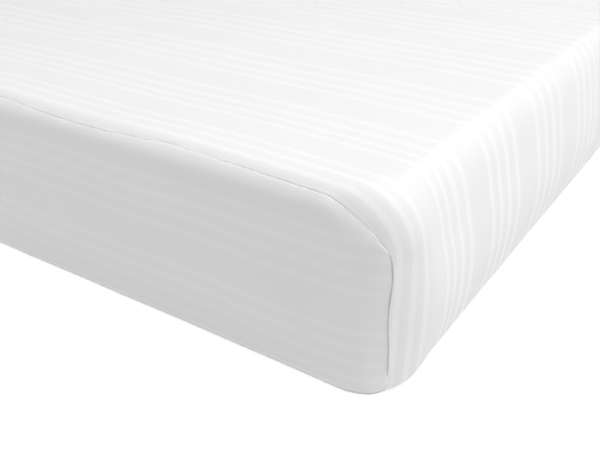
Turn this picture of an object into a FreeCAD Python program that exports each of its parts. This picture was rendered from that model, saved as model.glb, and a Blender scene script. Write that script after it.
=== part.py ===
import FreeCAD, Part
import os

# Double mattress: three layers of foam in a knitted sock, inside a zip-off striped cover.
# Frame: millimetres, origin at the middle of the underside, +Z up, +Y towards the head end.
# The zip runs along the left long side, which faces -X.

Vector = FreeCAD.Vector

# Whole mattress
width = 1350.0
length = 1900.0
thickness = 250.0
plan_corner_radius = 75.0
top_edge_radius = 50.0
bottom_edge_radius = 25.0

# Cover: one panel over the top and both long sides, an end panel at each end, and a base
cover_cloth = 2.0
end_seam_setback = 22.0  # from the end face back to the middle of the end seam
base_seam_height = 8.0
seam_width = 3.0
seam_proud = 0.5

# Sock and foam inside the cover
sock_cloth = 1.2
sock_seam_width = 3.0
sock_seam_end_gap = 120.0
cover_room = 7.5  # room round the sock's sides, which the zip's slider and tapes need
sock_edge_ease = 10.0  # the sock's edges are rounder than the cover's by this
foam_edge_ease = 12.0
shoulder_ease = 18.0  # and the top edges are rounder again, so that the cover's edge is soft
memory_foam_depth = 60.0
transition_foam_depth = 40.0
glue_depth = 0.3

# Crosswise slots in the top of the support core: distance from the middle, how many, spacing
core_slot_zones = ((0.0, 5, 60.0), (330.0, 7, 36.0), (640.0, 4, 60.0))
core_slot_width = 4.0
core_slot_depth = 45.0

# Zip: chain of two coils on two woven tapes
zip_height = 45.0
zip_opening_half_length = 865.0
zip_opening_half_height = 7.0
tape_half_length = 872.0
tape_reach = 16.0  # from the zip's middle line to a tape's outer edge
tape_thickness = 0.8
coil_half_length = 858.0
coil_inner_edge = 0.7  # from the zip's middle line
coil_outer_edge = 3.3
coil_thickness = 2.2
coil_edge_radius = 0.8
stop_length = 4.0
stop_thickness = 2.6
topstitch_distance = 11.0  # from the zip's middle line
topstitch_width = 0.6
topstitch_proud = 0.4

# Zip slider: two plates round the chain, joined by a thin post, with a bridge for the pull
slider_half_length = 6.0
slider_nose_half_width = 4.8
slider_tail_half_width = 4.3
plate_thickness = 0.9
slider_clearance = 0.4
post_half_thickness = 0.35
post_length = 3.5
bridge_half_length = 3.4
bridge_half_width = 0.9
bridge_bar = 1.1
bridge_height = 3.6

# Zip pull: a flat tab whose crossbar turns under the bridge
pull_thickness = 1.4
pull_half_width = 3.4
pull_window_half_width = 1.6
pull_window_end = 4.6
pull_straight_end = 24.0

# Blank care label on the head end panel
label_width = 90.0
label_height = 60.0
label_thickness = 0.5
label_from_left = 115.0
label_bottom = 95.0

left_face = -width / 2
half_seam = seam_width / 2
end_seam_place = length / 2 - end_seam_setback
tape_outer_face = left_face + cover_cloth - tape_thickness
tape_inner_face = left_face + cover_cloth
coil_outer_face = tape_outer_face - coil_thickness
slider_middle = slider_half_length + slider_clearance - coil_half_length
slider_outer_face = coil_outer_face - slider_clearance - plate_thickness
slider_inner_face = tape_inner_face + slider_clearance + plate_thickness
pull_axis = slider_outer_face - (bridge_height - bridge_bar) / 2


def region(x, y, z):
    """Box between two limits along each axis."""
    low = Vector(min(x), min(y), min(z))
    size = Vector(max(x), max(y), max(z)) - low
    return Part.makeBox(size.x, size.y, size.z, low)


def layer(low, high):
    """Everything between two heights."""
    return region((-width, width), (-length, length), (low, high))


def level_edges(shape, height):
    """Edges of a shape that lie wholly at one height."""
    return [e for e in shape.Edges if all(abs(v.Z - height) < 0.01 for v in e.Vertexes)]


def upright_edges(shape):
    """Edges of a box that run up and down."""
    return [e for e in shape.Edges if abs(e.Vertexes[0].Z - e.Vertexes[-1].Z) > 1.0]


def mattress_block(inset, ease=0.0, room=0.0, shoulder=0.0):
    """Rounded block lying inset within the mattress's outer faces.

    ease makes its edges rounder and shoulder its top edges more so, and room draws its sides further in.
    """
    x = (left_face + inset + room, width / 2 - inset - room)
    y = (inset + room - length / 2, length / 2 - inset - room)
    z = (inset, thickness - inset)
    block = region(x, y, z)
    block = block.makeFillet(plan_corner_radius - inset + ease, upright_edges(block))
    block = block.makeFillet(top_edge_radius - inset + ease + shoulder, level_edges(block, z[1]))
    return block.makeFillet(bottom_edge_radius - inset + ease, level_edges(block, z[0]))


def save(name, *shapes):
    """Write one sub-part, which is one solid or a group of like solids."""
    solids = [solid for shape in shapes for solid in shape.Solids]
    shape = solids[0] if len(solids) == 1 else Part.makeCompound(solids)
    shape.exportStep(f"parts/{name}.step")
    print(f"{name}: {len(solids)} solid(s), {shape.Volume / 1000:.1f} cm3, valid {shape.isValid()}")


def end_zone(end, near, far):
    """Everything above the base seam between two distances from the middle, at one end."""
    return region((-width, width), (end * near, end * far), (base_seam_height + half_seam, 2 * thickness))


def cover_panels():
    """Cover cloth, cut into panels that leave room for the seams between them."""
    outside = mattress_block(0.0)
    cloth = outside.cut(mattress_block(cover_cloth))
    for end, name in ((-1, "foot_end_panel"), (1, "head_end_panel")):
        save(name, cloth.common(end_zone(end, end_seam_place + half_seam, length)))
    save("base_panel", cloth.common(layer(-1.0, base_seam_height - half_seam)))

    wrap_reach = (half_seam - end_seam_place, end_seam_place - half_seam)
    above_seam = base_seam_height + half_seam
    opening_z = (zip_height - zip_opening_half_height, zip_height + zip_opening_half_height)
    opening = region(
        (left_face - 1.0, left_face + cover_cloth + 1.0),
        (-zip_opening_half_length, zip_opening_half_length),
        opening_z,
    )
    tape_bed = region(
        (tape_outer_face, tape_inner_face),
        (-tape_half_length, tape_half_length),
        (zip_height - tape_reach, zip_height + tape_reach),
    )
    below_zip = region((-width, 0.0), wrap_reach, (above_seam, zip_height))
    wrap = cloth.common(region((-width, width), wrap_reach, (above_seam, 2 * thickness)))
    save("top_wrap_panel", wrap.cut(below_zip).cut(opening).cut(tape_bed))
    save("zip_lower_band", cloth.common(below_zip).cut(opening).cut(tape_bed))


def cover_seams():
    """Sewn ridges: an arch round each end panel, and a ring round the base."""
    ridge = mattress_block(-seam_proud).cut(mattress_block(cover_cloth))
    for end, name in ((-1, "foot_end_seam"), (1, "head_end_seam")):
        save(name, ridge.common(end_zone(end, end_seam_place - half_seam, end_seam_place + half_seam)))
    save("base_seam", ridge.common(layer(base_seam_height - half_seam, base_seam_height + half_seam)))


def above_and_below(near, far):
    """Two stretches of height, at the same distances above and below the zip's middle line."""
    return ((zip_height + near, zip_height + far), (zip_height - far, zip_height - near))


def zip_chain():
    """Tapes, coils, end stops and the two rows of stitching that hold the zip in."""
    tape_x = (tape_outer_face, tape_inner_face)
    coil_x = (coil_outer_face, tape_outer_face)
    coil_y = (-coil_half_length, coil_half_length)
    tape_z = above_and_below(coil_inner_edge, tape_reach)
    coil_z = above_and_below(coil_inner_edge, coil_outer_edge)
    for side, tape_height, coil_height in zip(("upper", "lower"), tape_z, coil_z):
        save(f"zip_tape_{side}", region(tape_x, (-tape_half_length, tape_half_length), tape_height))
        coil = region(coil_x, coil_y, coil_height)
        outer = [e for e in coil.Edges if all(abs(v.X - coil_outer_face) < 0.01 for v in e.Vertexes)]
        outer = [e for e in outer if e.Length > coil_half_length]
        save(f"zip_coil_{side}", coil.makeFillet(coil_edge_radius, outer))

    stop_x = (tape_outer_face - stop_thickness, tape_outer_face)
    foot_y = (-coil_half_length - stop_length, -coil_half_length)
    head_y = (coil_half_length, coil_half_length + stop_length)
    across = (zip_height - coil_outer_edge, zip_height + coil_outer_edge)
    save("zip_top_stops", *(region(stop_x, foot_y, height) for height in coil_z))
    save("zip_bottom_stop", region(stop_x, head_y, across))

    stitch_x = (left_face - topstitch_proud, left_face)
    stitch_y = (-zip_opening_half_length, zip_opening_half_length)
    stitch_z = above_and_below(topstitch_distance, topstitch_distance + topstitch_width)
    save("zip_topstitching", *(region(stitch_x, stitch_y, height) for height in stitch_z))


def zip_slider():
    """Slider at the foot end of the zip, where it stands when the cover is closed."""
    nose = slider_middle - slider_half_length
    tail = slider_middle + slider_half_length
    shoulder = nose + slider_half_length * 2 / 3
    outline = (
        (nose, slider_nose_half_width - 1.5),
        (nose + 1.5, slider_nose_half_width),
        (shoulder, slider_nose_half_width),
        (tail - 1.0, slider_tail_half_width),
        (tail, slider_tail_half_width - 1.0),
    )
    points = [Vector(slider_outer_face, y, zip_height + z) for y, z in outline]
    points += [Vector(slider_outer_face, y, zip_height - z) for y, z in reversed(outline)]
    plan = Part.Face(Part.makePolygon(points + points[:1]))
    body = plan.extrude(Vector(slider_inner_face - slider_outer_face, 0, 0))

    travel = (nose - 1.0, tail + 1.0)
    channel_x = (slider_outer_face + plate_thickness, slider_inner_face - plate_thickness)
    channel_half_width = coil_outer_edge + slider_clearance
    channel_z = (zip_height - channel_half_width, zip_height + channel_half_width)
    slot_x = (tape_outer_face - slider_clearance, channel_x[1])
    slot_z = (zip_height - tape_reach, zip_height + tape_reach)
    body = body.cut(region(channel_x, travel, channel_z)).cut(region(slot_x, travel, slot_z))

    post_z = (zip_height - post_half_thickness, zip_height + post_half_thickness)
    post = region(channel_x, (nose, nose + post_length), post_z)
    bridge_x = (slider_outer_face - bridge_height, slider_outer_face)
    bridge_y = (slider_middle - bridge_half_length, slider_middle + bridge_half_length)
    bridge_z = (zip_height - bridge_half_width, zip_height + bridge_half_width)
    bridge = region(bridge_x, bridge_y, bridge_z)
    bridge = bridge.cut(
        region(
            (bridge_x[0] + bridge_bar, bridge_x[1]),
            (bridge_y[0] + bridge_bar, bridge_y[1] - bridge_bar),
            bridge_z,
        )
    )
    save("zip_slider", body.fuse([post, bridge]).removeSplitter())


def zip_pull():
    """Pull lying flat along the closed chain, towards the head end."""
    half = pull_thickness / 2
    x = (pull_axis - half, pull_axis + half)
    z = (zip_height - pull_half_width, zip_height + pull_half_width)
    tab = region(x, (slider_middle, slider_middle + pull_straight_end), z)
    end_centre = Vector(x[0], slider_middle + pull_straight_end, zip_height)
    tip = Part.makeCylinder(pull_half_width, pull_thickness, end_centre, Vector(1, 0, 0))
    window_y = (slider_middle - 1.0, slider_middle + pull_window_end)
    window_z = (zip_height - pull_window_half_width, zip_height + pull_window_half_width)
    window = region(x, window_y, window_z)
    bar_foot = Vector(pull_axis, slider_middle, z[0])
    crossbar = Part.makeCylinder(half, 2 * pull_half_width, bar_foot, Vector(0, 0, 1))
    save("zip_pull", tab.fuse(tip).cut(window).fuse(crossbar).removeSplitter())


def care_label():
    """Blank label on the head end panel, near its left corner."""
    x = (left_face + label_from_left, left_face + label_from_left + label_width)
    y = (length / 2, length / 2 + label_thickness)
    save("care_label", region(x, y, (label_bottom, label_bottom + label_height)))


def inner_sock():
    """Knitted sock round the foam, sewn shut across the middle of each end."""
    outside = mattress_block(cover_cloth, sock_edge_ease, cover_room, shoulder_ease)
    inset = cover_cloth + sock_cloth
    sock = outside.cut(mattress_block(inset, sock_edge_ease, cover_room, shoulder_ease))
    x = (left_face + sock_seam_end_gap, width / 2 - sock_seam_end_gap)
    z = ((thickness - sock_seam_width) / 2, (thickness + sock_seam_width) / 2)
    reach = length / 2 - cover_room
    ends = [region(x, (end * (reach - inset), end * (reach - cover_cloth)), z) for end in (-1, 1)]
    save("inner_sock", sock.cut(ends))
    save("sock_end_seams", *ends)


def foam_layers():
    """Memory foam on transition foam on a slotted support core, with glue between them."""
    inset = cover_cloth + sock_cloth
    foam = mattress_block(inset, foam_edge_ease, cover_room, shoulder_ease)
    top = thickness - inset
    layers = (
        ("memory_foam_layer", memory_foam_depth),
        ("upper_glue_film", glue_depth),
        ("transition_foam_layer", transition_foam_depth),
        ("lower_glue_film", glue_depth),
    )
    for name, depth in layers:
        save(name, foam.common(layer(top - depth, top)))
        top -= depth
    core = foam.common(layer(0.0, top))
    places = set()
    for middle, count, spacing in core_slot_zones:
        for step in range(count):
            offset = middle + (step - (count - 1) / 2) * spacing
            places |= {offset, -offset}
    half = core_slot_width / 2
    slot_z = (top - core_slot_depth, top + 1.0)
    slots = [region((-width, width), (y - half, y + half), slot_z) for y in sorted(places)]
    save("support_core", core.cut(slots))


os.makedirs("parts", exist_ok=True)
cover_panels()
cover_seams()
zip_chain()
zip_slider()
zip_pull()
care_label()
inner_sock()
foam_layers()
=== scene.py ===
import math

import bpy
import numpy as np
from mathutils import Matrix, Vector


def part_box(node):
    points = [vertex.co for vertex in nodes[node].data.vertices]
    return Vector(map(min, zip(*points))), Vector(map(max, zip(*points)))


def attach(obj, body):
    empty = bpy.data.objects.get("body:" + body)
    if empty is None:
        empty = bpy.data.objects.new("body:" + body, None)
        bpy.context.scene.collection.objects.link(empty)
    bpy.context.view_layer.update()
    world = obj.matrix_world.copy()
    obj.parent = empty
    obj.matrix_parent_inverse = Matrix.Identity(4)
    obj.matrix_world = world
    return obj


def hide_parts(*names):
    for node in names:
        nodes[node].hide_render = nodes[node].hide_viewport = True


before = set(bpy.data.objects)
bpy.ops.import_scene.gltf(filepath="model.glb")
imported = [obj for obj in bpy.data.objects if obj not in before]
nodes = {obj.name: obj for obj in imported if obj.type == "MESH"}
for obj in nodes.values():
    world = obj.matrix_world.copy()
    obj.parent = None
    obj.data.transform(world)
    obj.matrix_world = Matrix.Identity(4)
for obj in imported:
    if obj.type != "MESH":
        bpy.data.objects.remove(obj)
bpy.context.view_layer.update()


# ---------------------------------------------------------------------------
# Shape of the filled cover. Stretch cloth pulled over soft foam: the long top
# edges are soft shoulders, the end edges are tighter because a seam runs along
# them, and the sides belly out a little and tuck in where they meet the base.

wrap_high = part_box("top_wrap_panel")[1]
foot_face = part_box("foot_end_panel")[0].y
head_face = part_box("head_end_panel")[1].y
half_width = wrap_high.x
full_length = head_face - foot_face
top_height = wrap_high.z

plan_corner_radius = 0.075
end_edge_radius = 0.034
end_lower_radius = 0.010
side_lower_radius = 0.032
shoulder_in = 0.048
shoulder_down = 0.097
shoulder_power = 1.8
corner_in = 0.052  # the shoulder's size where it reaches the end face
corner_down = 0.058
corner_power = 2.15
corner_depth = 0.10  # how far from the end face the corner's shape carries on
belly = 0.0085
tuck = 0.0045


def smooth(t):
    """Ease from 0 to 1."""
    t = np.clip(t, 0.0, 1.0)
    return t * t * (3.0 - 2.0 * t)


def fallen_back(distance, radius):
    """How far a rounded edge has fallen back, at a distance from the face it meets."""
    u = np.clip(1.0 - distance / radius, 0.0, 1.0)
    return radius * (1.0 - np.sqrt(1.0 - u * u))


def section(inward):
    """Sizes of the cover's cross-section at a distance inward from an end face."""
    k = smooth(inward / corner_depth)
    width = half_width - fallen_back(inward, plan_corner_radius)
    top = top_height - fallen_back(inward, end_edge_radius)
    low = fallen_back(inward, end_lower_radius)
    across = corner_in + (shoulder_in - corner_in) * k
    down = corner_down + (shoulder_down - corner_down) * k
    power = corner_power + (shoulder_power - corner_power) * k
    lower = end_lower_radius + 0.002 + (side_lower_radius - end_lower_radius - 0.002) * k
    return width, top, low, across, down, power, lower, k


def side_bulge(z, k, side=1.0):
    """How far a long side stands out, or tucks in, at a height; the zip keeps the left one flat low down."""
    out = belly * np.sin(np.pi * np.clip((z - 0.02) / 0.15, 0.0, 1.0)) - tuck
    out = np.where(side > 0, out, out * smooth((z - 0.062) / 0.05))
    return k * out * smooth((top_height - z) / 0.06)


def section_point(s, inward, side=1.0):
    """Distance out from the middle, and height, on one half of a cross-section.

    s runs 0 to 1 round the lower edge, to 2 up the side, to 3 over the shoulder, and to 4 along the
    top to the middle.
    """
    width, top, low, across, down, power, lower, k = section(inward)
    turn = np.pi / 2 * np.clip(s, 0.0, 1.0)
    climb = np.clip(s - 1.0, 0.0, 1.0)
    bend = np.pi / 2 * np.clip(s - 2.0, 0.0, 1.0)
    along = np.clip(s - 3.0, 0.0, 1.0)
    x_lower = width - lower + lower * np.sin(turn)
    z_lower = low + lower * (1.0 - np.cos(turn))
    z_side = low + lower + climb * (top - down - low - lower)
    x_bend = width - across + across * np.clip(np.cos(bend), 0.0, 1.0) ** (2.0 / power)
    z_bend = top - down + down * np.clip(np.sin(bend), 0.0, 1.0) ** (2.0 / power)
    x_top = (width - across) * (1.0 - along)
    x = np.where(s < 1, x_lower, np.where(s < 2, width, np.where(s < 3, x_bend, x_top)))
    z = np.where(s < 1, z_lower, np.where(s < 2, z_side, np.where(s < 3, z_bend, top)))
    return x + side_bulge(z, k, side), z


def waves(a, b, seed, scale, count=7):
    """Smooth unevenness over two lengths in metres, about -1 to 1, the same on every run."""
    rng = np.random.default_rng(seed)
    total = np.zeros(np.broadcast(a, b).shape)
    for _ in range(count):
        angle, phase = rng.uniform(0, 2 * np.pi, 2)
        wavelength = scale * rng.uniform(0.6, 1.8)
        total += np.sin(2 * np.pi * (a * np.cos(angle) + b * np.sin(angle)) / wavelength + phase)
    return total / count * 1.6


def add_mesh(name, points, faces, layers=None):
    """New object from points and faces, with cloth measures in metres as UV layers."""
    mesh = bpy.data.meshes.new(name)
    mesh.from_pydata([tuple(p) for p in points], [], [tuple(f) for f in faces])
    for label, values in (layers or {}).items():
        uv = mesh.uv_layers.new(name=label)
        corner = np.zeros(len(mesh.loops), np.int32)
        mesh.loops.foreach_get("vertex_index", corner)
        uv.data.foreach_set("uv", np.asarray(values, np.float32)[corner].ravel())
    mesh.polygons.foreach_set("use_smooth", [True] * len(mesh.polygons))
    mesh.update()
    thing = bpy.data.objects.new(name, mesh)
    bpy.context.scene.collection.objects.link(thing)
    return thing


def grid_faces(rows, columns, flip=False):
    """Quads of a grid of points that is stored row after row."""
    r, c = np.meshgrid(np.arange(rows - 1), np.arange(columns - 1), indexing="ij")
    first = (r * columns + c).ravel()
    quads = np.stack([first, first + 1, first + columns + 1, first + columns], -1)
    return quads[:, ::-1] if flip else quads


def lengths_along(points, axis):
    """Distance walked along one axis of a grid of points."""
    steps = np.linalg.norm(np.diff(points, axis=axis), axis=-1)
    start = np.zeros_like(np.take(steps, [0], axis=axis))
    return np.concatenate([start, np.cumsum(steps, axis=axis)], axis=axis)


def surface_normals(points):
    """Outward unit normals of a grid of points."""
    down_rows = np.gradient(points, axis=0)
    along_rows = np.gradient(points, axis=1)
    normal = np.cross(down_rows, along_rows)
    return normal / np.maximum(np.linalg.norm(normal, axis=-1, keepdims=True), 1e-12)


def give_thickness(thing, thickness):
    """Cloth of a real thickness, on the inner side of the modelled face."""
    layer = thing.modifiers.new("cloth", "SOLIDIFY")
    layer.thickness = thickness
    layer.offset = -1.0
    layer.use_even_offset = False
    even = thing.modifiers.new("even_shading", "WEIGHTED_NORMAL")
    even.mode = "FACE_AREA"
    even.weight = 50


# ---------------------------------------------------------------------------
# End seams. The end panel and the wrap are overlocked inside along one line.
# It wanders a little along the top edge, because the cloth stretches, then
# turns the corner and runs down the upright edge to the base.

wrap_puff = 0.0007
panel_puff = 0.0026
ridge = 0.0019
seam_places = np.array(
    [0.0, 1.15, 1.54, 1.79, 1.93, 2.09, 2.38, 2.63, 2.89, 3.04, 3.2, 3.34, 3.42, 3.5, 3.6, 3.75, 3.9, 4.0]
)
seam_distances = 0.001 * np.array(
    [21.0, 21.0, 18.0, 20.0, 20.0, 12.4, 7.2, 5.0, 5.2, 6.8, 8.4, 10.4, 10.2, 6.8, 5.6, 6.4, 10.6, 11.4]
)
soften = np.exp(-(((np.arange(-40, 41)) / 13.0) ** 2))
fine_places = np.linspace(-0.4, 4.4, 961)
fine_distances = np.interp(fine_places, seam_places, seam_distances)
fine_distances = np.convolve(fine_distances, soften / soften.sum(), "same")


def seam_inward(s, side):
    """Distance of an end seam from its end face; the left half wanders in its own way."""
    distance = np.interp(s, fine_places, fine_distances)
    drift = 0.0013 * np.sin(9.0 * s + 2.0) * smooth((s - 2.6) / 0.6) * smooth((4.0 - s) / 0.4)
    return np.where(side > 0, distance, distance + drift)


def seam_relief(distance, z, puff, reach):
    """Height of the cloth beside a seam.

    Along the top the cloth puffs out on both sides of the line that holds it down; on the
    upright corner the seam allowance inside pushes the line out as a low ridge.
    """
    upright = smooth((0.205 - z) / 0.05) * smooth((z - 0.012) / 0.03)
    puffed = puff * (1.0 - np.exp(-distance / reach))
    return puffed * (1.0 - upright) + ridge * np.exp(-distance / 0.007) * upright


# ---------------------------------------------------------------------------
# Top wrap panel. One width of striped stretch cloth over the top and down both
# long sides, with no seam at the long edges. On the left it stops above the zip
# with a turned edge. Grid: rows run along the bed, columns across it.

base_seam_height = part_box("base_seam")[0].z + 0.0015
zip_low, zip_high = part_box("zip_tape_lower")[0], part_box("zip_tape_upper")[1]
zip_height = (zip_low.z + zip_high.z) / 2
zip_opening_half = 0.007
zip_opening_reach = zip_high.y - 0.007
cloth_thickness = 0.0015
group_spots = np.array([0.036, 0.144, 0.296, 0.480, 0.672, 0.862])
group_spots = np.concatenate([group_spots, full_length - group_spots[::-1]])


def stripe_place(along):
    """Distance along the cloth turned into a count of stripe groups."""
    groups = np.arange(len(group_spots), dtype=float)
    first_gap = group_spots[1] - group_spots[0]
    last_gap = group_spots[-1] - group_spots[-2]
    known = np.concatenate([[group_spots[0] - first_gap], group_spots, [group_spots[-1] + last_gap]])
    counts = np.concatenate([[-1.0], groups, [groups[-1] + 1.0]])
    return np.interp(along, known, counts)


def row_steps():
    """Places of the rows from one end seam to the other, as shares of the way, finer at the ends."""
    near = np.array([0.0, 0.7, 1.4, 2.2, 3.2, 4.4, 6.0, 8.0]) * 0.001
    near = np.concatenate([near, np.arange(0.012, 0.10, 0.0045), np.arange(0.10, 0.70, 0.009)])
    middle = np.linspace(0.70, full_length - 0.70, 46)
    return np.concatenate([near, middle, full_length - near[::-1]]) / full_length


def columns_across():
    """Places of the columns, from the lower right edge over the top to the left side."""
    right = np.concatenate(
        [
            np.linspace(0.18, 1, 6)[:-1],
            np.linspace(1, 2, 16)[:-1],
            np.linspace(2, 3, 15)[:-1],
            np.linspace(3, 4, 66),
        ]
    )
    left = right[::-1][1:]
    return np.concatenate([right, left]), np.concatenate([np.ones(len(right)), -np.ones(len(left))])


def height_to_place(height):
    """The place s on the side at which a full section has a height."""
    width, top, low, across, down, power, lower, k = section(np.array(1.0))
    if height < low + lower:
        return float(np.arccos(1.0 - (height - low) / lower) / (np.pi / 2))
    return float(1.0 + (height - low - lower) / (top - down - low - lower))


def cover_grid(s, side, share):
    """Points of the cover between its end seams, for columns s and side and rows share."""
    side = np.asarray(side, float)[None, :]
    share = np.asarray(share, float)[:, None]
    start = seam_inward(s, side)
    span = full_length - 2.0 * start
    from_foot = start + share * span
    from_head = full_length - from_foot
    inward = np.minimum(from_foot, from_head)
    x, z = section_point(np.broadcast_to(s, inward.shape), inward, side)
    y = np.where(from_foot < from_head, foot_face + inward, head_face - inward)
    points = np.stack([x * side, y, z], -1)
    to_seam = np.minimum(share, 1.0 - share) * span
    return points, to_seam


def add_relief(points, to_seam, seed):
    """Puffed seam edges, puckers beside them and the soft unevenness of a filled cover."""
    normal = surface_normals(points)
    x, y, z = points[..., 0], points[..., 1], points[..., 2]
    around = x - z * np.sign(x)
    height = seam_relief(to_seam, z, wrap_puff, 0.0025)
    pucker = waves(around, 0.15 * to_seam, 11, 0.034, 9) * np.exp(-to_seam / 0.020)
    height = height + 0.00055 * pucker * smooth(to_seam / 0.004)
    height = height + 0.0010 * waves(x + z, y, seed, 0.31) * smooth(to_seam / 0.05)
    height = height + 0.00035 * waves(x + z, y, seed + 1, 0.11, 9) * smooth(to_seam / 0.03)
    return points + normal * height[..., None]


def zip_edge_height(y, direction):
    """Height of a turned edge beside the zip, which closes onto the zip's middle line past its ends."""
    open_here = smooth((zip_opening_reach + 0.006 - np.abs(y)) / 0.012)
    return zip_height + direction * (0.00004 + (zip_opening_half - 0.00004) * open_here)


shares = row_steps()
row_y = foot_face + shares * full_length
s_right_to_left, sides = columns_across()
top_edge_of_zip = np.array([height_to_place(z) for z in zip_edge_height(row_y, 1.0)])
keep = (sides > 0) | (s_right_to_left > top_edge_of_zip.max() + 0.03)
wrap_side = np.append(sides[keep], -1.0)
wrap_s = np.tile(np.append(s_right_to_left[keep], 0.0), (len(shares), 1))
# Known fault: this border lies above the next column, at s = 0.344, so the right edge folds back.
wrap_s[:, 0] = height_to_place(base_seam_height)
wrap_s[:, -1] = top_edge_of_zip
wrap_points, wrap_to_seam = cover_grid(wrap_s, wrap_side, shares)
wrap_points = add_relief(wrap_points, wrap_to_seam, 3)
across = lengths_along(wrap_points, 1)
along = lengths_along(wrap_points, 0) + seam_inward(wrap_s, wrap_side[None, :])
along = along * full_length / along.max(axis=0, keepdims=True)
wobble = 0.0022 * waves(across, along, 21, 0.5, 6)
pattern = stripe_place(along + wobble)

wrap_panel = add_mesh(
    "cover_top_wrap",
    wrap_points.reshape(-1, 3),
    grid_faces(*wrap_points.shape[:2], flip=True),
    {
        "weave": np.stack([across, along], -1).reshape(-1, 2),
        "stripes": np.stack([across, pattern], -1).reshape(-1, 2),
    },
)
give_thickness(wrap_panel, cloth_thickness)
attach(wrap_panel, "mattress")
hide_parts("top_wrap_panel")


# Finish of the cover cloth: white polyester knit with satin stripes in groups of four. The ground is
# matt and very finely ribbed, and the stripes are smoother, a little brighter and slightly raised.


class Wire:
    """One output in a finish's nodes. Arithmetic on it adds the Math nodes that work it out."""

    def __init__(self, tree, socket=None):
        self.tree = tree
        self.socket = socket

    def node(self, kind, inputs=None, output=0, stops=None, **settings):
        """Add a node: its settings first, then the values or links of its sockets."""
        made = self.tree.nodes.new("ShaderNode" + kind)
        for name, value in settings.items():
            setattr(made, name, value)
        if stops:
            ramp = made.color_ramp.elements
            while len(ramp) < len(stops):
                ramp.new(1.0)
            for stop, (place, colour) in zip(ramp, stops):
                stop.position = place
                stop.color = (*colour, 1.0)
        for name, value in (inputs or {}).items():
            if isinstance(value, Wire):
                self.tree.links.new(value.socket, made.inputs[name])
            else:
                made.inputs[name].default_value = value
        return Wire(self.tree, made.outputs[output] if made.outputs else None)

    def maths(self, operation, *values):
        return self.node("Math", dict(enumerate(values)), operation=operation)

    def __add__(self, other):
        return self.maths("ADD", self, other)

    def __sub__(self, other):
        return self.maths("SUBTRACT", self, other)

    def __rsub__(self, other):
        return self.maths("SUBTRACT", other, self)

    def __mul__(self, other):
        return self.maths("MULTIPLY", self, other)

    def __truediv__(self, other):
        return self.maths("DIVIDE", self, other)

    __radd__ = __add__
    __rmul__ = __mul__

    def between(self, low, high):
        """0 below low, 1 above high, and a smooth step in between."""
        return self.node(
            "MapRange", {"Value": self, "From Min": low, "From Max": high}, interpolation_type="SMOOTHSTEP"
        )

    def mix(self, low, high):
        """A colour between two others, with this as the share of the second."""
        return self.node("Mix", {0: self, 6: low, 7: high}, 2, data_type="RGBA")


def new_finish(name):
    """A material with an empty node tree, and the Wire that adds its nodes."""
    material = bpy.data.materials.new(name)
    material.use_nodes = True
    material.node_tree.nodes.clear()
    return material, Wire(material.node_tree)


def close_finish(wire, colour, roughness, normal=None, fixed=None, **links):
    """The shader at the end of a finish. fixed holds constants, which are set on its own sockets."""
    inputs = {"Base Color": colour, "Roughness": roughness}
    inputs.update(fixed or {})
    inputs.update({name.replace("_", " "): value for name, value in links.items()})
    if normal is not None:
        inputs["Normal"] = normal
    surface = wire.node("BsdfPrincipled", inputs)
    wire.node("OutputMaterial", {"Surface": surface})


def grey(level, warmth=0.0):
    """A near-white colour, slightly warm or cool."""
    return (level + warmth, level, level - warmth, 1.0)


def cloth_measure(wire, layer, along_first=False):
    """The two lengths of a UV layer as wires."""
    uv = wire.node("UVMap", uv_map=layer)
    first = wire.node("SeparateXYZ", {"Vector": uv}, 0)
    second = Wire(wire.tree, first.socket.node.outputs[1])
    return first, second, uv


def knit_cloth(name, contrast, ground=0.80, rib=0.0016):
    """Striped stretch knit. contrast scales how much the satin stripes stand out; below 1 the stripes are
    painted fainter, as painted shade.
    """
    material, wire = new_finish(name)
    across, pattern, _ = cloth_measure(wire, "stripes")
    u, v, uv = cloth_measure(wire, "weave")
    within = wire.maths("FRACT", pattern + 0.5) - 0.5
    count = within / 0.18 + 2.0
    in_group = count.between(-0.02, 0.02) * (1.0 - count.between(3.98, 4.02))
    lane = wire.maths("ABSOLUTE", wire.maths("FRACT", count) - 0.5)
    stripe = (1.0 - lane.between(0.15, 0.25)) * in_group
    pin = (1.0 - lane.between(0.0, 0.05)) * in_group
    fade = wire.node("TexNoise", {"Vector": uv, "Scale": 3.5, "Detail": 2.0}).between(0.35, 0.65)
    satin = stripe * (0.72 + 0.28 * fade) * contrast

    wale = wire.maths("SINE", u * (2 * math.pi / rib))
    course = wire.maths("SINE", v * (2 * math.pi / (rib * 0.8)) + wale * 0.8)
    knit = wale * 0.5 + course * 0.5
    slub = wire.node("TexNoise", {"Vector": uv, "Scale": 520.0, "Detail": 2.0, "Roughness": 0.6})
    mottle = wire.node("TexNoise", {"Vector": uv, "Scale": 14.0, "Detail": 3.0})
    level = mottle * 0.35 + fade * 0.25 + slub * 0.15
    plain = level.mix(grey(ground - 0.012, 0.0004), grey(ground + 0.016, 0.0004))
    colour = satin.mix(plain, grey(min(ground + 0.058, 0.93), 0.0))
    roughness = 0.82 - satin * 0.26 + slub * 0.04

    height = knit * (1.0 - satin * 0.75) * 0.5 + satin * 1.6 + slub * 0.35 - pin * 0.3
    normal = wire.node("Bump", {"Height": height, "Strength": 0.22, "Distance": 0.00022})
    close_finish(wire, colour, roughness, normal, {"Sheen Weight": 0.12, "Sheen Roughness": 0.5})
    return material


cover_cloth = knit_cloth("striped_stretch_knit", 1.0)
wrap_panel.data.materials.append(cover_cloth)


# ---------------------------------------------------------------------------
# End panels. Cut separately from the same cloth and set in round three sides by
# the end seam; the stripes run across the bed and lie slightly uneven. The face
# is a grid stretched between the seam arch and the base seam.

end_face_bulge = 0.0012


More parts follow.
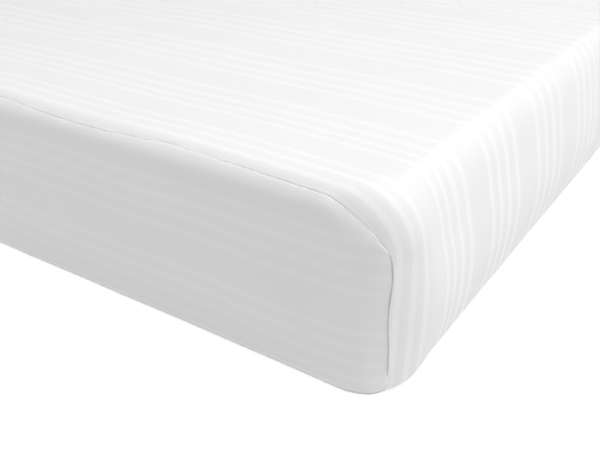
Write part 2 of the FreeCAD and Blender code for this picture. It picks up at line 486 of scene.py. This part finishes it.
def inward_at(x, z):
    """Distance inward from the end face of the cover at a place on the end, by bisection."""
    nearest = np.zeros_like(x)
    farthest = np.full_like(x, 0.12)
    for _ in range(34):
        middle = (nearest + farthest) / 2
        width, top, low, shoulder, down, power, lower, k = section(middle)
        reach = width.copy()
        rise = np.clip((z - (top - down)) / down, 0.0, 1.0)
        reach = reach - shoulder * (1.0 - (1.0 - rise**power) ** (1.0 / power))
        dip = np.clip(1.0 - (z - low) / lower, 0.0, 1.0)
        reach = reach - lower * (1.0 - np.sqrt(1.0 - dip * dip))
        reach = reach + side_bulge(z, k, np.sign(x))
        inside = (np.abs(x) <= reach) & (z <= top) & (z >= low)
        farthest = np.where(inside, middle, farthest)
        nearest = np.where(inside, nearest, middle)
    return farthest


def seam_line(s, side):
    """Points of the end seam, X and Z, and its distance inward."""
    inward = seam_inward(s, side)
    x, z = section_point(s, inward, side)
    return np.stack([x * side, z], -1), inward


def coons(bottom, top, left, right):
    """Points between four border lines that meet at their ends."""
    u = np.linspace(0, 1, bottom.shape[0])[None, :, None]
    v = np.linspace(0, 1, left.shape[0])[:, None, None]
    flat = (1 - v) * bottom[None] + v * top[None] + (1 - u) * left[:, None] + u * right[:, None]
    return flat - (
        (1 - u) * (1 - v) * bottom[0] + u * (1 - v) * bottom[-1] + (1 - u) * v * top[0] + u * v * top[-1]
    )


def closer_at_ends(count, strength=0.7):
    """Shares of the way from 0 to 1 that lie closer together near both ends."""
    t = np.linspace(0, 1, count)
    return t - strength * np.sin(2 * np.pi * t) / (2 * np.pi)


def end_panel(name, face, direction, seed):
    """One end panel; direction is -1 at the foot and 1 at the head."""
    foot_place = height_to_place(base_seam_height)
    corner = 2.55
    columns, rows = 132, 46
    up = foot_place + (corner - foot_place) * closer_at_ends(rows)
    right, _ = seam_line(up, np.ones(rows))
    left, _ = seam_line(up, -np.ones(rows))
    t = closer_at_ends(columns, 0.8) * 2 - 1
    over = 4.0 - (4.0 - corner) * np.abs(t)
    top, _ = seam_line(over, np.where(t > 0, 1.0, -1.0))
    bottom = left[0] + (right[0] - left[0]) * closer_at_ends(columns, 0.8)[:, None]
    flat = coons(bottom, top, left, right)
    x, z = flat[..., 0], flat[..., 1]
    border = np.zeros(x.shape, bool)
    border[0], border[-1], border[:, 0], border[:, -1] = True, True, True, True
    inward = inward_at(x, z)
    _, top_inward = seam_line(over, np.where(t > 0, 1.0, -1.0))
    _, side_inward = seam_line(up, np.ones(rows))
    _, left_inward = seam_line(up, -np.ones(rows))
    inward[-1] = top_inward
    inward[:, -1] = side_inward
    inward[:, 0] = left_inward
    y = face - direction * inward
    points = np.stack([x, y, z], -1)
    outline = np.concatenate([points[:, 0], points[-1], points[:, -1]])
    to_seam = np.full(x.shape, 1.0)
    for start in range(0, len(outline), 3):
        to_seam = np.minimum(to_seam, np.linalg.norm(points - outline[start], axis=-1))
    normal = surface_normals(points) * (1.0 if direction < 0 else -1.0)
    normal = normal * np.sign(np.sum(normal[rows // 2, columns // 2] * (0, direction, 0)))
    over_face = smooth(to_seam / 0.07) * smooth(z / 0.05)
    height = end_face_bulge * over_face + seam_relief(to_seam, z, panel_puff, 0.006)
    height = height + 0.0008 * waves(x, z * 2.0, seed, 0.28) * smooth(to_seam / 0.03)
    pucker = waves(x + z, 0.1 * z, seed + 2, 0.036, 9) * np.exp(-to_seam / 0.016)
    height = height + 0.0005 * pucker * smooth(to_seam / 0.004)
    points = points + normal * height[..., None]
    groups = (z + 0.0035 * waves(x, z, seed + 5, 0.22, 6) - 0.052) / 0.115
    panel = add_mesh(
        name,
        points.reshape(-1, 3),
        grid_faces(rows, columns, flip=direction > 0),
        {
            "weave": np.stack([x, z], -1).reshape(-1, 2),
            "stripes": np.stack([x, groups], -1).reshape(-1, 2),
        },
    )
    give_thickness(panel, cloth_thickness)
    return panel


# The end panels use the same knit with its satin stripes turned down to 0.34. That is painted shade: the
# stripes' brightness, shine and relief are cut because the end faces lie in the shade. The stripe pattern
# itself is real.
end_cloth_shaded_stripes = knit_cloth("striped_stretch_knit_end_shade_faded", 0.34)
foot_panel = end_panel("cover_foot_end", foot_face, -1, 31)
head_panel = end_panel("cover_head_end", head_face, 1, 41)
for panel, node in ((foot_panel, "foot_end_panel"), (head_panel, "head_end_panel")):
    panel.data.materials.append(end_cloth_shaded_stripes)
    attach(panel, "mattress")
    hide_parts(node)


# ---------------------------------------------------------------------------
# Lower band. The strip of cover cloth below the zip on the left side, from the
# base seam up to its own turned edge beside the coils.

band_top = np.array([height_to_place(z) for z in zip_edge_height(row_y, -1.0)])
band_bottom = height_to_place(base_seam_height)
band_share = np.linspace(0.0, 1.0, 9)[None, :]
band_s = band_top[:, None] + (band_bottom - band_top[:, None]) * band_share
band_points, band_to_seam = cover_grid(band_s, -np.ones(9), shares)
band_points = add_relief(band_points, band_to_seam, 3)
band_along = np.repeat(along[:, -1:], band_points.shape[1], axis=1)
band_across = lengths_along(band_points, 1)
lower_band = add_mesh(
    "cover_zip_lower_band",
    band_points.reshape(-1, 3),
    grid_faces(*band_points.shape[:2], flip=True),
    {
        "weave": np.stack([band_across, band_along], -1).reshape(-1, 2),
        "stripes": np.stack([band_across, stripe_place(band_along)], -1).reshape(-1, 2),
    },
)
give_thickness(lower_band, cloth_thickness)
lower_band.data.materials.append(cover_cloth)
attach(lower_band, "mattress")
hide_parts("zip_lower_band")


# ---------------------------------------------------------------------------
# Base panel. A plain white woven base with small raised grip dots, sewn to the
# sides by the base seam. It is flat where it rests and turns up at its border.

base_turn = 0.022


def evenly(line, count):
    """The same line with another number of points, its ends kept."""
    walked = np.concatenate([[0.0], np.cumsum(np.linalg.norm(np.diff(line, axis=0), axis=1))])
    wanted = np.linspace(0.0, walked[-1], count)
    return np.stack([np.interp(wanted, walked, line[:, i]) for i in range(line.shape[1])], -1)


def panel_bottom(panel):
    """Lower border of an end panel, from left to right."""
    points = np.array([v.co for v in panel.data.vertices[:132]])
    return points[np.argsort(points[:, 0])]


foot_line = panel_bottom(foot_panel)
head_line = panel_bottom(head_panel)
right_line = np.vstack([foot_line[-1:], wrap_points[:, 0], head_line[-1:]])
left_line = np.vstack([foot_line[:1], band_points[:, -1], head_line[:1]])
base_columns, base_rows = 90, 130
base_grid = coons(
    evenly(foot_line, base_columns),
    evenly(head_line, base_columns),
    evenly(left_line, base_rows),
    evenly(right_line, base_rows),
)
base_outline = np.vstack([foot_line, right_line, head_line[::-1], left_line[::-1]])
nearest_border = np.full(base_grid.shape[:2], 1.0)
border_height = np.zeros(base_grid.shape[:2])
for corner_point in base_outline[::2]:
    gap = np.linalg.norm(base_grid[..., :2] - corner_point[:2], axis=-1)
    border_height = np.where(gap < nearest_border, corner_point[2], border_height)
    nearest_border = np.minimum(gap, nearest_border)
turn_up = np.clip(1.0 - nearest_border / base_turn, 0.0, 1.0)
base_z = border_height * (1.0 - np.sqrt(1.0 - turn_up**2))
inner = (slice(1, -1), slice(1, -1))
base_grid[..., 2][inner] = base_z[inner]
base_panel = add_mesh(
    "cover_base",
    base_grid.reshape(-1, 3),
    grid_faces(base_rows, base_columns, flip=True),
    {"weave": base_grid[..., :2].reshape(-1, 2)},
)
base_layer = base_panel.modifiers.new("cloth", "SOLIDIFY")
base_layer.thickness = 0.0012
base_layer.offset = -1.0
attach(base_panel, "mattress")
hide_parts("base_panel")

base_cloth, wire = new_finish("base_grip_cloth")
u, v, uv = cloth_measure(wire, "weave")
warp = wire.maths("SINE", u * (2 * math.pi / 0.0012))
weft = wire.maths("SINE", v * (2 * math.pi / 0.0012))
dot_pitch = 0.009
dot_u = wire.maths("FRACT", u / dot_pitch) - 0.5
dot_v = wire.maths("FRACT", v / dot_pitch) - 0.5
dot = 1.0 - wire.maths("SQRT", dot_u * dot_u + dot_v * dot_v).between(0.13, 0.17)
thread = wire.node("TexNoise", {"Vector": uv, "Scale": 600.0, "Detail": 2.0})
dust = wire.node("TexNoise", {"Vector": uv, "Scale": 6.0, "Detail": 3.0})
base_colour = dot.mix((dust * 0.6 + thread * 0.3).mix(grey(0.66), grey(0.74)), grey(0.60, -0.004))
base_height = warp * weft * 0.5 + dot * 1.5
base_bump = wire.node("Bump", {"Height": base_height, "Strength": 0.4, "Distance": 0.0003})
close_finish(wire, base_colour, 0.85 - dot * 0.35, base_bump, {"Sheen Weight": 0.05})
base_panel.data.materials.append(base_cloth)


# ---------------------------------------------------------------------------
# Sewn seams. Overlock thread lies as a row of short raised stitches in the sunk
# line of each end seam, and a bound cord of thread runs round the base seam.


def frames_along(line):
    """Directions along a line of points."""
    ahead = np.gradient(line, axis=0)
    return ahead / np.maximum(np.linalg.norm(ahead, axis=1, keepdims=True), 1e-12)


def stitches(name, line, outward, pitch, length, radius, slant=0.0):
    """A row of short thread beads along a line, each lying on the cloth."""
    total = np.linalg.norm(np.diff(line, axis=0), axis=1).sum()
    count = int(total / pitch)
    walked = np.concatenate([[0.0], np.cumsum(np.linalg.norm(np.diff(line, axis=0), axis=1))])
    wanted = (np.arange(count) + 0.5) * total / count
    centre = np.stack([np.interp(wanted, walked, line[:, i]) for i in range(3)], -1)
    ahead = np.stack([np.interp(wanted, walked, frames_along(line)[:, i]) for i in range(3)], -1)
    out = np.stack([np.interp(wanted, walked, outward[:, i]) for i in range(3)], -1)
    out = out / np.linalg.norm(out, axis=1, keepdims=True)
    across_ = np.cross(ahead, out)
    ahead = ahead + slant * across_
    ahead = ahead / np.linalg.norm(ahead, axis=1, keepdims=True)
    across_ = np.cross(ahead, out)
    places = np.array([-0.5, -0.38, -0.13, 0.13, 0.38, 0.5])
    sizes = np.array([0.25, 0.8, 1.0, 1.0, 0.8, 0.25])
    rings = 6
    turns = np.arange(rings) * 2 * np.pi / rings
    points = []
    for place, size in zip(places, sizes):
        arch = radius * 0.35 * (1.0 - (2 * place) ** 2)
        for turn in turns:
            points.append(
                centre
                + ahead * (place * length)
                + across_ * (radius * size * math.cos(turn))
                + out * (radius * size * 0.8 * math.sin(turn) + arch)
            )
    points = np.stack(points, 1).reshape(-1, 3)
    faces = []
    for i in range(len(places) - 1):
        for j in range(rings):
            k = (j + 1) % rings
            faces.append((i * rings + j, i * rings + k, (i + 1) * rings + k, (i + 1) * rings + j))
    faces.append(tuple(range(rings))[::-1])
    faces.append(tuple(range((len(places) - 1) * rings, len(places) * rings)))
    each = len(places) * rings
    all_faces = [tuple(n * each + f for f in face) for n in range(count) for face in faces]
    return add_mesh(name, points, all_faces)


thread_white, wire = new_finish("sewing_thread")
place = wire.node("TexCoord", output=3)
twist = wire.node(
    "TexWave", {"Vector": place, "Scale": 900.0, "Distortion": 1.0}, 1, bands_direction="DIAGONAL"
)
fuzz = wire.node("TexNoise", {"Vector": place, "Scale": 1500.0, "Detail": 2.0})
thread_colour = (fuzz * 0.6 + twist * 0.3).mix(grey(0.74), grey(0.84))
thread_bump = wire.node("Bump", {"Height": twist + fuzz * 0.5, "Strength": 0.4, "Distance": 0.0001})
close_finish(wire, thread_colour, 0.55 + fuzz * 0.2, thread_bump, {"Sheen Weight": 0.1})

middle_of_cover = np.array([0.0, 0.0, top_height * 0.4])


def seam_outward(line, end):
    """Directions out of the cover along an end seam: partly out of the end, partly of the side or top."""
    away = line - middle_of_cover
    beside = away[:, 0] * (np.abs(line[:, 0]) > 0.5)
    out = np.stack([beside, 0 * away[:, 1], np.clip(away[:, 2], 0, 1)], -1)
    out = out / np.maximum(np.linalg.norm(out, axis=1, keepdims=True), 1e-9)
    out[:, 1] = end * 0.8
    return out / np.linalg.norm(out, axis=1, keepdims=True)


for end, row, name, node in (
    (-1, 0, "foot_seam_stitches", "foot_end_seam"),
    (1, -1, "head_seam_stitches", "head_end_seam"),
):
    line = np.vstack([wrap_points[row], band_points[row]])
    out = seam_outward(line, end)
    seam = stitches(name, line + out * 0.0002, out, 0.0032, 0.0026, 0.00042)
    seam.data.materials.append(thread_white)
    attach(seam, "mattress")
    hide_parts(node)

base_ring = np.vstack([foot_line, right_line[1:-1], head_line[::-1], left_line[::-1][1:-1]])
base_ring = evenly(np.vstack([base_ring, base_ring[:1]]), 1401)
base_out = np.stack(
    [-np.gradient(-base_ring[:, 1]), np.gradient(-base_ring[:, 0]), 0 * base_ring[:, 2]], -1
)
base_out = base_out / np.maximum(np.linalg.norm(base_out, axis=1, keepdims=True), 1e-12)
cord_sides = 8
cord_turns = np.arange(cord_sides) * 2 * np.pi / cord_sides
cord_radius = 0.0011 + 0.00018 * np.sin(np.arange(len(base_ring)) * 2.1)
cord_points = np.stack(
    [
        base_ring
        + base_out * (cord_radius * math.cos(turn))[:, None]
        + np.array([0, 0, 1.0]) * (cord_radius * math.sin(turn))[:, None]
        for turn in cord_turns
    ],
    1,
)
cord_faces = []
for i in range(len(base_ring) - 1):
    for j in range(cord_sides):
        k = (j + 1) % cord_sides
        here = i * cord_sides
        ahead_ = (i + 1) % (len(base_ring) - 1) * cord_sides
        cord_faces.append((here + j, ahead_ + j, ahead_ + k, here + k))
base_cord = add_mesh("base_seam_cord", cord_points[:-1].reshape(-1, 3), cord_faces)
base_cord.data.materials.append(thread_white)
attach(base_cord, "mattress")
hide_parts("base_seam")


# ---------------------------------------------------------------------------
# Zip in the left side. Two woven tapes lie behind the turned edges, each with a
# sewn-on nylon coil, and two rows of lockstitch hold the tapes to the cloth.

zip_tape, wire = new_finish("woven_zip_tape")
u, v, uv = cloth_measure(wire, "weave")
rib = wire.maths("SINE", u * (2 * math.pi / 0.0011))
pick = wire.maths("SINE", v * (2 * math.pi / 0.0008) + rib * 1.4)
tape_fuzz = wire.node("TexNoise", {"Vector": uv, "Scale": 900.0, "Detail": 2.0})
tape_colour = (tape_fuzz * 0.5 + pick * 0.15 + 0.2).mix(grey(0.70), grey(0.80))
tape_bump = wire.node("Bump", {"Height": rib * 0.6 + pick * 0.6, "Strength": 0.5, "Distance": 0.00012})
close_finish(wire, tape_colour, 0.72, tape_bump, {"Sheen Weight": 0.1})

nylon, wire = new_finish("nylon_coil")
place = wire.node("TexCoord", output=3)
cloudy = wire.node("TexNoise", {"Vector": place, "Scale": 200.0, "Detail": 2.0})
close_finish(wire, cloudy.mix(grey(0.72), grey(0.80)), 0.30 + cloudy * 0.12, None, {"IOR": 1.53})

coil_pitch = 0.0021


def squared(w):
    """A wave with flattened tops, which gives a coil its squarish turns."""
    return np.sign(w) * np.abs(w) ** 0.75


for name, node, coil_node, direction in (
    ("upper", "zip_tape_upper", "zip_coil_upper", 1.0),
    ("lower", "zip_tape_lower", "zip_coil_lower", -1.0),
):
    low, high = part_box(node)
    tape_y = np.linspace(low.y, high.y, 240)
    tape_z = np.linspace(low.z, high.z, 9)
    grid_y, grid_z = np.meshgrid(tape_y, tape_z, indexing="ij")
    ripple = 0.00006 * np.sin(grid_z * 2 * np.pi / 0.0036) + 0.00008 * waves(grid_y, grid_z, 61, 0.09)
    tape_points = np.stack([low.x + 0.0001 + ripple, grid_y, grid_z], -1)
    tape = add_mesh(
        f"zip_tape_{name}_woven",
        tape_points.reshape(-1, 3),
        grid_faces(240, 9),
        {"weave": np.stack([grid_z, grid_y], -1).reshape(-1, 2)},
    )
    give_thickness(tape, 0.0006)
    tape.data.materials.append(zip_tape)
    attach(tape, "mattress")
    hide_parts(node)

    low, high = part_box(coil_node)
    inner_edge = zip_height + direction * 0.0001
    outer_edge = high.z if direction > 0 else low.z
    wire_radius = 0.00036
    coil_sides = 5
    steps = int((high.y - low.y) / coil_pitch * 10)
    t = np.arange(steps + 1) / 10.0 * 2 * np.pi
    centre_z, reach_z = (inner_edge + outer_edge) / 2, abs(outer_edge - inner_edge) / 2 - wire_radius
    centre_x, reach_x = (low.x + high.x) / 2, (high.x - low.x) / 2 - wire_radius
    half_turn = 0.0 if direction > 0 else np.pi
    path = np.stack(
        [
            centre_x + reach_x * squared(np.cos(t + half_turn)),
            low.y + wire_radius + (high.y - low.y - 2 * wire_radius) * t / t[-1],
            centre_z + reach_z * squared(np.sin(t + half_turn)),
        ],
        -1,
    )
    ahead = frames_along(path)
    aside = np.cross(ahead, (0.0, 1.0, 0.0))
    aside = aside / np.maximum(np.linalg.norm(aside, axis=1, keepdims=True), 1e-12)
    above = np.cross(aside, ahead)
    ring = [
        path + wire_radius * (aside * math.cos(turn) + above * math.sin(turn))
        for turn in np.arange(coil_sides) * 2 * np.pi / coil_sides
    ]
    coil_points = np.stack(ring, 1).reshape(-1, 3)
    first = np.arange(steps)[:, None] * coil_sides
    j = np.arange(coil_sides)[None, :]
    k = (j + 1) % coil_sides
    coil_faces = np.stack([first + j, first + k, first + coil_sides + k, first + coil_sides + j], -1)
    coil_faces = coil_faces.reshape(-1, 4)
    coil = add_mesh(f"zip_coil_{name}_turns", coil_points, coil_faces)
    coil.data.materials.append(nylon)
    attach(coil, "mattress")
    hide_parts(coil_node)

stitch_low, stitch_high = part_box("zip_topstitching")
row_lines = []
for edge_points, offset in ((wrap_points[:, -3:], 1), (band_points[:, :3], -1)):
    height = stitch_high.z - 0.0003 if offset > 0 else stitch_low.z + 0.0003
    inside = np.abs(row_y) < zip_opening_reach
    by_height = [row[np.argsort(row[:, 2])] for row in edge_points[inside]]
    skin = np.stack([np.interp(height, row[:, 2], row[:, 0]) for row in by_height])
    row_lines.append(np.stack([skin, edge_points[inside][:, 1, 1], np.full(len(skin), height)], -1))
both_rows = []
for number, line in enumerate(row_lines):
    out = np.tile([-1.0, 0.0, 0.0], (len(line), 1))
    line = line + out * 0.0001
    both_rows.append(stitches(f"topstitch_row_{number}", line, out, 0.0034, 0.0027, 0.00032))
for end in (-1, 1):
    past_zip = end * row_y > zip_opening_reach + 0.012
    line = wrap_points[past_zip, -1]
    out = np.stack([0 * line[:, 0] - 1.0, 0 * line[:, 0], 0 * line[:, 0]], -1)
    line = line + out * 0.0001
    both_rows.append(stitches(f"zip_end_closing_{end + 1}", line, out, 0.0032, 0.0024, 0.00032))
bpy.ops.object.select_all(action="DESELECT")
for thing in both_rows:
    thing.select_set(True)
bpy.context.view_layer.objects.active = both_rows[0]
bpy.ops.object.join()
topstitching = both_rows[0]
topstitching.name = "zip_topstitch_rows"
topstitching.data.materials.append(thread_white)
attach(topstitching, "mattress")
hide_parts("zip_topstitching")


# ---------------------------------------------------------------------------
# Zip stops, slider and pull. Die-cast zinc with a satin nickel finish. The CAD
# parts keep their shapes; a small bevel takes the sharpness off their edges.

nickel, wire = new_finish("satin_nickel")
place = wire.node("TexCoord", output=3)
brushed = wire.node("TexNoise", {"Vector": place, "Scale": 2200.0, "Detail": 2.0})
worn = wire.node("TexNoise", {"Vector": place, "Scale": 260.0, "Detail": 3.0}).between(0.45, 0.7)
nickel_colour = worn.mix((0.58, 0.57, 0.55, 1.0), (0.70, 0.69, 0.67, 1.0))
nickel_bump = wire.node("Bump", {"Height": brushed, "Strength": 0.15, "Distance": 0.00003})
close_finish(wire, nickel_colour, 0.26 + brushed * 0.12 + worn * 0.06, nickel_bump, {"Metallic": 1.0})
for name in ("zip_top_stops", "zip_bottom_stop", "zip_slider", "zip_pull"):
    part = nodes[name]
    part.data.materials.clear()
    part.data.materials.append(nickel)
    edge = part.modifiers.new("soft_edges", "BEVEL")
    edge.width = 0.00014
    edge.segments = 2
    edge.limit_method = "ANGLE"
    edge.angle_limit = math.radians(40)


# ---------------------------------------------------------------------------
# Care label. A blank satin tab that lies on the head end panel, held by a row of
# stitches along its top edge. It follows the face of the panel.

label_low, label_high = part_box("care_label")
head_points = np.array([v.co for v in head_panel.data.vertices])
label_x, label_z = np.meshgrid(
    np.linspace(label_low.x, label_high.x, 37), np.linspace(label_low.z, label_high.z, 25), indexing="ij"
)
beside_label = np.abs(head_points[:, 0] - label_x.mean()) < 0.08
level_with_label = np.abs(head_points[:, 2] - label_z.mean()) < 0.07
near_label = head_points[beside_label & level_with_label]
gap2 = (label_x[..., None] - near_label[:, 0]) ** 2 + (label_z[..., None] - near_label[:, 2]) ** 2
closeness = 1.0 / (gap2 + 1e-6) ** 2
label_y = (closeness * near_label[:, 1]).sum(-1) / closeness.sum(-1)
down_label = (label_high.z - label_z) / (label_high.z - label_low.z)
lift = 0.0007 + 0.0016 * down_label**2 * (0.6 + 0.4 * waves(label_x, label_z, 71, 0.05))
label_points = np.stack([label_x, label_y + lift, label_z], -1)
label = add_mesh(
    "care_label_satin",
    label_points.reshape(-1, 3),
    grid_faces(37, 25),
    {"weave": np.stack([label_x, label_z], -1).reshape(-1, 2)},
)
give_thickness(label, 0.0003)
satin_label, wire = new_finish("label_satin")
u, v, uv = cloth_measure(wire, "weave")
float_thread = wire.maths("SINE", u * (2 * math.pi / 0.0005) + v * 900.0)
sheen_patch = wire.node("TexNoise", {"Vector": uv, "Scale": 30.0, "Detail": 2.0})
label_bump = wire.node("Bump", {"Height": float_thread, "Strength": 0.2, "Distance": 0.00005})
label_colour = sheen_patch.mix(grey(0.82, 0.01), grey(0.88, 0.008))
close_finish(wire, label_colour, 0.32 + sheen_patch * 0.15, label_bump)
label.data.materials.append(satin_label)
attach(label, "mattress")
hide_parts("care_label")
label_row = label_points[:, -2] + (0.0, 0.0003, -0.001)
label_out = np.tile([0.0, 1.0, 0.0], (len(label_row), 1))
label_stitches = stitches("care_label_stitches", label_row[1:-1], label_out[1:-1], 0.003, 0.0023, 0.0003)
label_stitches.data.materials.append(thread_white)
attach(label_stitches, "mattress")


# ---------------------------------------------------------------------------
# Inside the cover. A knitted sock sewn shut at both ends round three foams that
# are glued together: memory foam, a transition layer and a slotted support core.


def foam_finish(name, low_colour, high_colour, cell):
    """Open-cell foam: small round pores over a slightly mottled body. The pores are sunk by the bump and
    darkened in colour, which is painted shade in them.
    """
    material, wire = new_finish(name)
    place = wire.node("TexCoord", output=3)
    pores = wire.node("TexVoronoi", {"Vector": place, "Scale": 1.0 / cell}, 0)
    pit_depth_and_shade = 1.0 - pores.between(0.05, 0.45)
    body = wire.node("TexNoise", {"Vector": place, "Scale": 30.0, "Detail": 4.0})
    # Painted shade: the colour turns towards the darker foam colour in the sunken pores.
    colour = (body * 0.7 + pit_depth_and_shade * 0.3).mix(high_colour, low_colour)
    bump = wire.node("Bump", {"Height": body * 0.5 - pit_depth_and_shade, "Strength": 0.6, "Distance": cell * 0.4})
    close_finish(wire, colour, 0.88 + pit_depth_and_shade * 0.08, bump, {"Subsurface Weight": 0.05})
    return material


sock_knit, wire = new_finish("sock_knit")
place = wire.node("TexCoord", output=3)
east = wire.node("SeparateXYZ", {"Vector": place}, 0)
north = Wire(wire.tree, east.socket.node.outputs[1])
up_high = Wire(wire.tree, east.socket.node.outputs[2])
wales = wire.maths("SINE", (east + up_high) * 3600.0)
loop = wales * wire.maths("SINE", north * 4300.0 + up_high * 1700.0)
yarn = wire.node("TexNoise", {"Vector": place, "Scale": 700.0, "Detail": 2.0})
knit_bump = wire.node("Bump", {"Height": loop + yarn * 0.5, "Strength": 0.5, "Distance": 0.0003})
knit_colour = (loop * 0.3 + yarn * 0.6).mix(grey(0.70), grey(0.82))
close_finish(wire, knit_colour, 0.86, knit_bump, {"Sheen Weight": 0.1})

glue, wire = new_finish("glue_film")
place = wire.node("TexCoord", output=3)
web = wire.node("TexNoise", {"Vector": place, "Scale": 160.0, "Detail": 4.0}).between(0.4, 0.6)
close_finish(wire, web.mix((0.72, 0.66, 0.50, 1.0), (0.80, 0.76, 0.64, 1.0)), 0.25 + web * 0.3)

inside_finishes = {
    "inner_sock": sock_knit,
    "sock_end_seams": thread_white,
    "memory_foam_layer": foam_finish(
        "memory_foam", (0.70, 0.62, 0.45, 1.0), (0.86, 0.80, 0.66, 1.0), 0.0006
    ),
    "upper_glue_film": glue,
    "transition_foam_layer": foam_finish(
        "transition_foam", (0.40, 0.55, 0.66, 1.0), (0.60, 0.73, 0.82, 1.0), 0.0009
    ),
    "lower_glue_film": glue,
    "support_core": foam_finish("support_foam", (0.62, 0.62, 0.60, 1.0), (0.80, 0.80, 0.78, 1.0), 0.0012),
}
for name, material in inside_finishes.items():
    nodes[name].data.materials.clear()
    nodes[name].data.materials.append(material)


# ---------------------------------------------------------------------------
# Studio. A pale floor that runs out to white, a wide soft key from above on the
# right, a weak fill from the front left and a dim even room. The camera is low
# and close to the near corner.

bpy.ops.mesh.primitive_grid_add(x_subdivisions=2, y_subdivisions=2, size=60.0, location=(0, 0, -0.0004))
floor = bpy.context.object
floor.name = "studio_floor"
floor_paint, wire = new_finish("studio_floor_paint")
white = wire.node("BsdfDiffuse", {"Color": grey(0.30)})
glow = wire.node("Emission", {"Color": grey(1.0), "Strength": 0.78})
wire.node("OutputMaterial", {"Surface": wire.node("AddShader", {0: white, 1: glow})})
floor.data.materials.append(floor_paint)

world = bpy.data.worlds.new("pale_room")
bpy.context.scene.world = world
world.use_nodes = True
world.node_tree.nodes["Background"].inputs["Color"].default_value = (1.0, 1.0, 1.0, 1.0)
world.node_tree.nodes["Background"].inputs["Strength"].default_value = 0.20


def soft_light(name, place, target, size, power):
    """A square soft light that faces a target."""
    lamp = bpy.data.lights.new(name, "AREA")
    lamp.shape = "SQUARE"
    lamp.size = size
    lamp.energy = power
    thing = bpy.data.objects.new(name, lamp)
    thing.location = place
    thing.rotation_mode = "QUATERNION"
    thing.rotation_quaternion = (Vector(place) - Vector(target)).to_track_quat("Z", "Y")
    bpy.context.scene.collection.objects.link(thing)
    return thing


soft_light("key", (2.4, -0.4, 5.6), (0.2, -0.2, 0.1), 3.0, 358.0)
soft_light("fill", (-3.6, -3.2, 1.8), (-0.5, -0.9, 0.2), 2.0, 36.0)

camera_data = bpy.data.cameras.new("camera")
camera = bpy.data.objects.new("camera", camera_data)
bpy.context.scene.collection.objects.link(camera)
bpy.context.scene.camera = camera
camera_data.sensor_width = 36.0
camera_data.lens = 45.6
camera_data.clip_start = 0.05
camera_azimuth = math.radians(33.72)
camera_elevation = math.radians(28.38)
camera.location = (half_width + 0.2647, foot_face - 0.5856, 0.5761)
camera_back = Vector(
    (
        math.sin(camera_azimuth) * math.cos(camera_elevation),
        -math.cos(camera_azimuth) * math.cos(camera_elevation),
        math.sin(camera_elevation),
    )
)
camera.rotation_mode = "QUATERNION"
camera.rotation_quaternion = camera_back.to_track_quat("Z", "Y")

bpy.context.scene.view_settings.view_transform = "Standard"
bpy.context.scene.view_settings.look = "None"
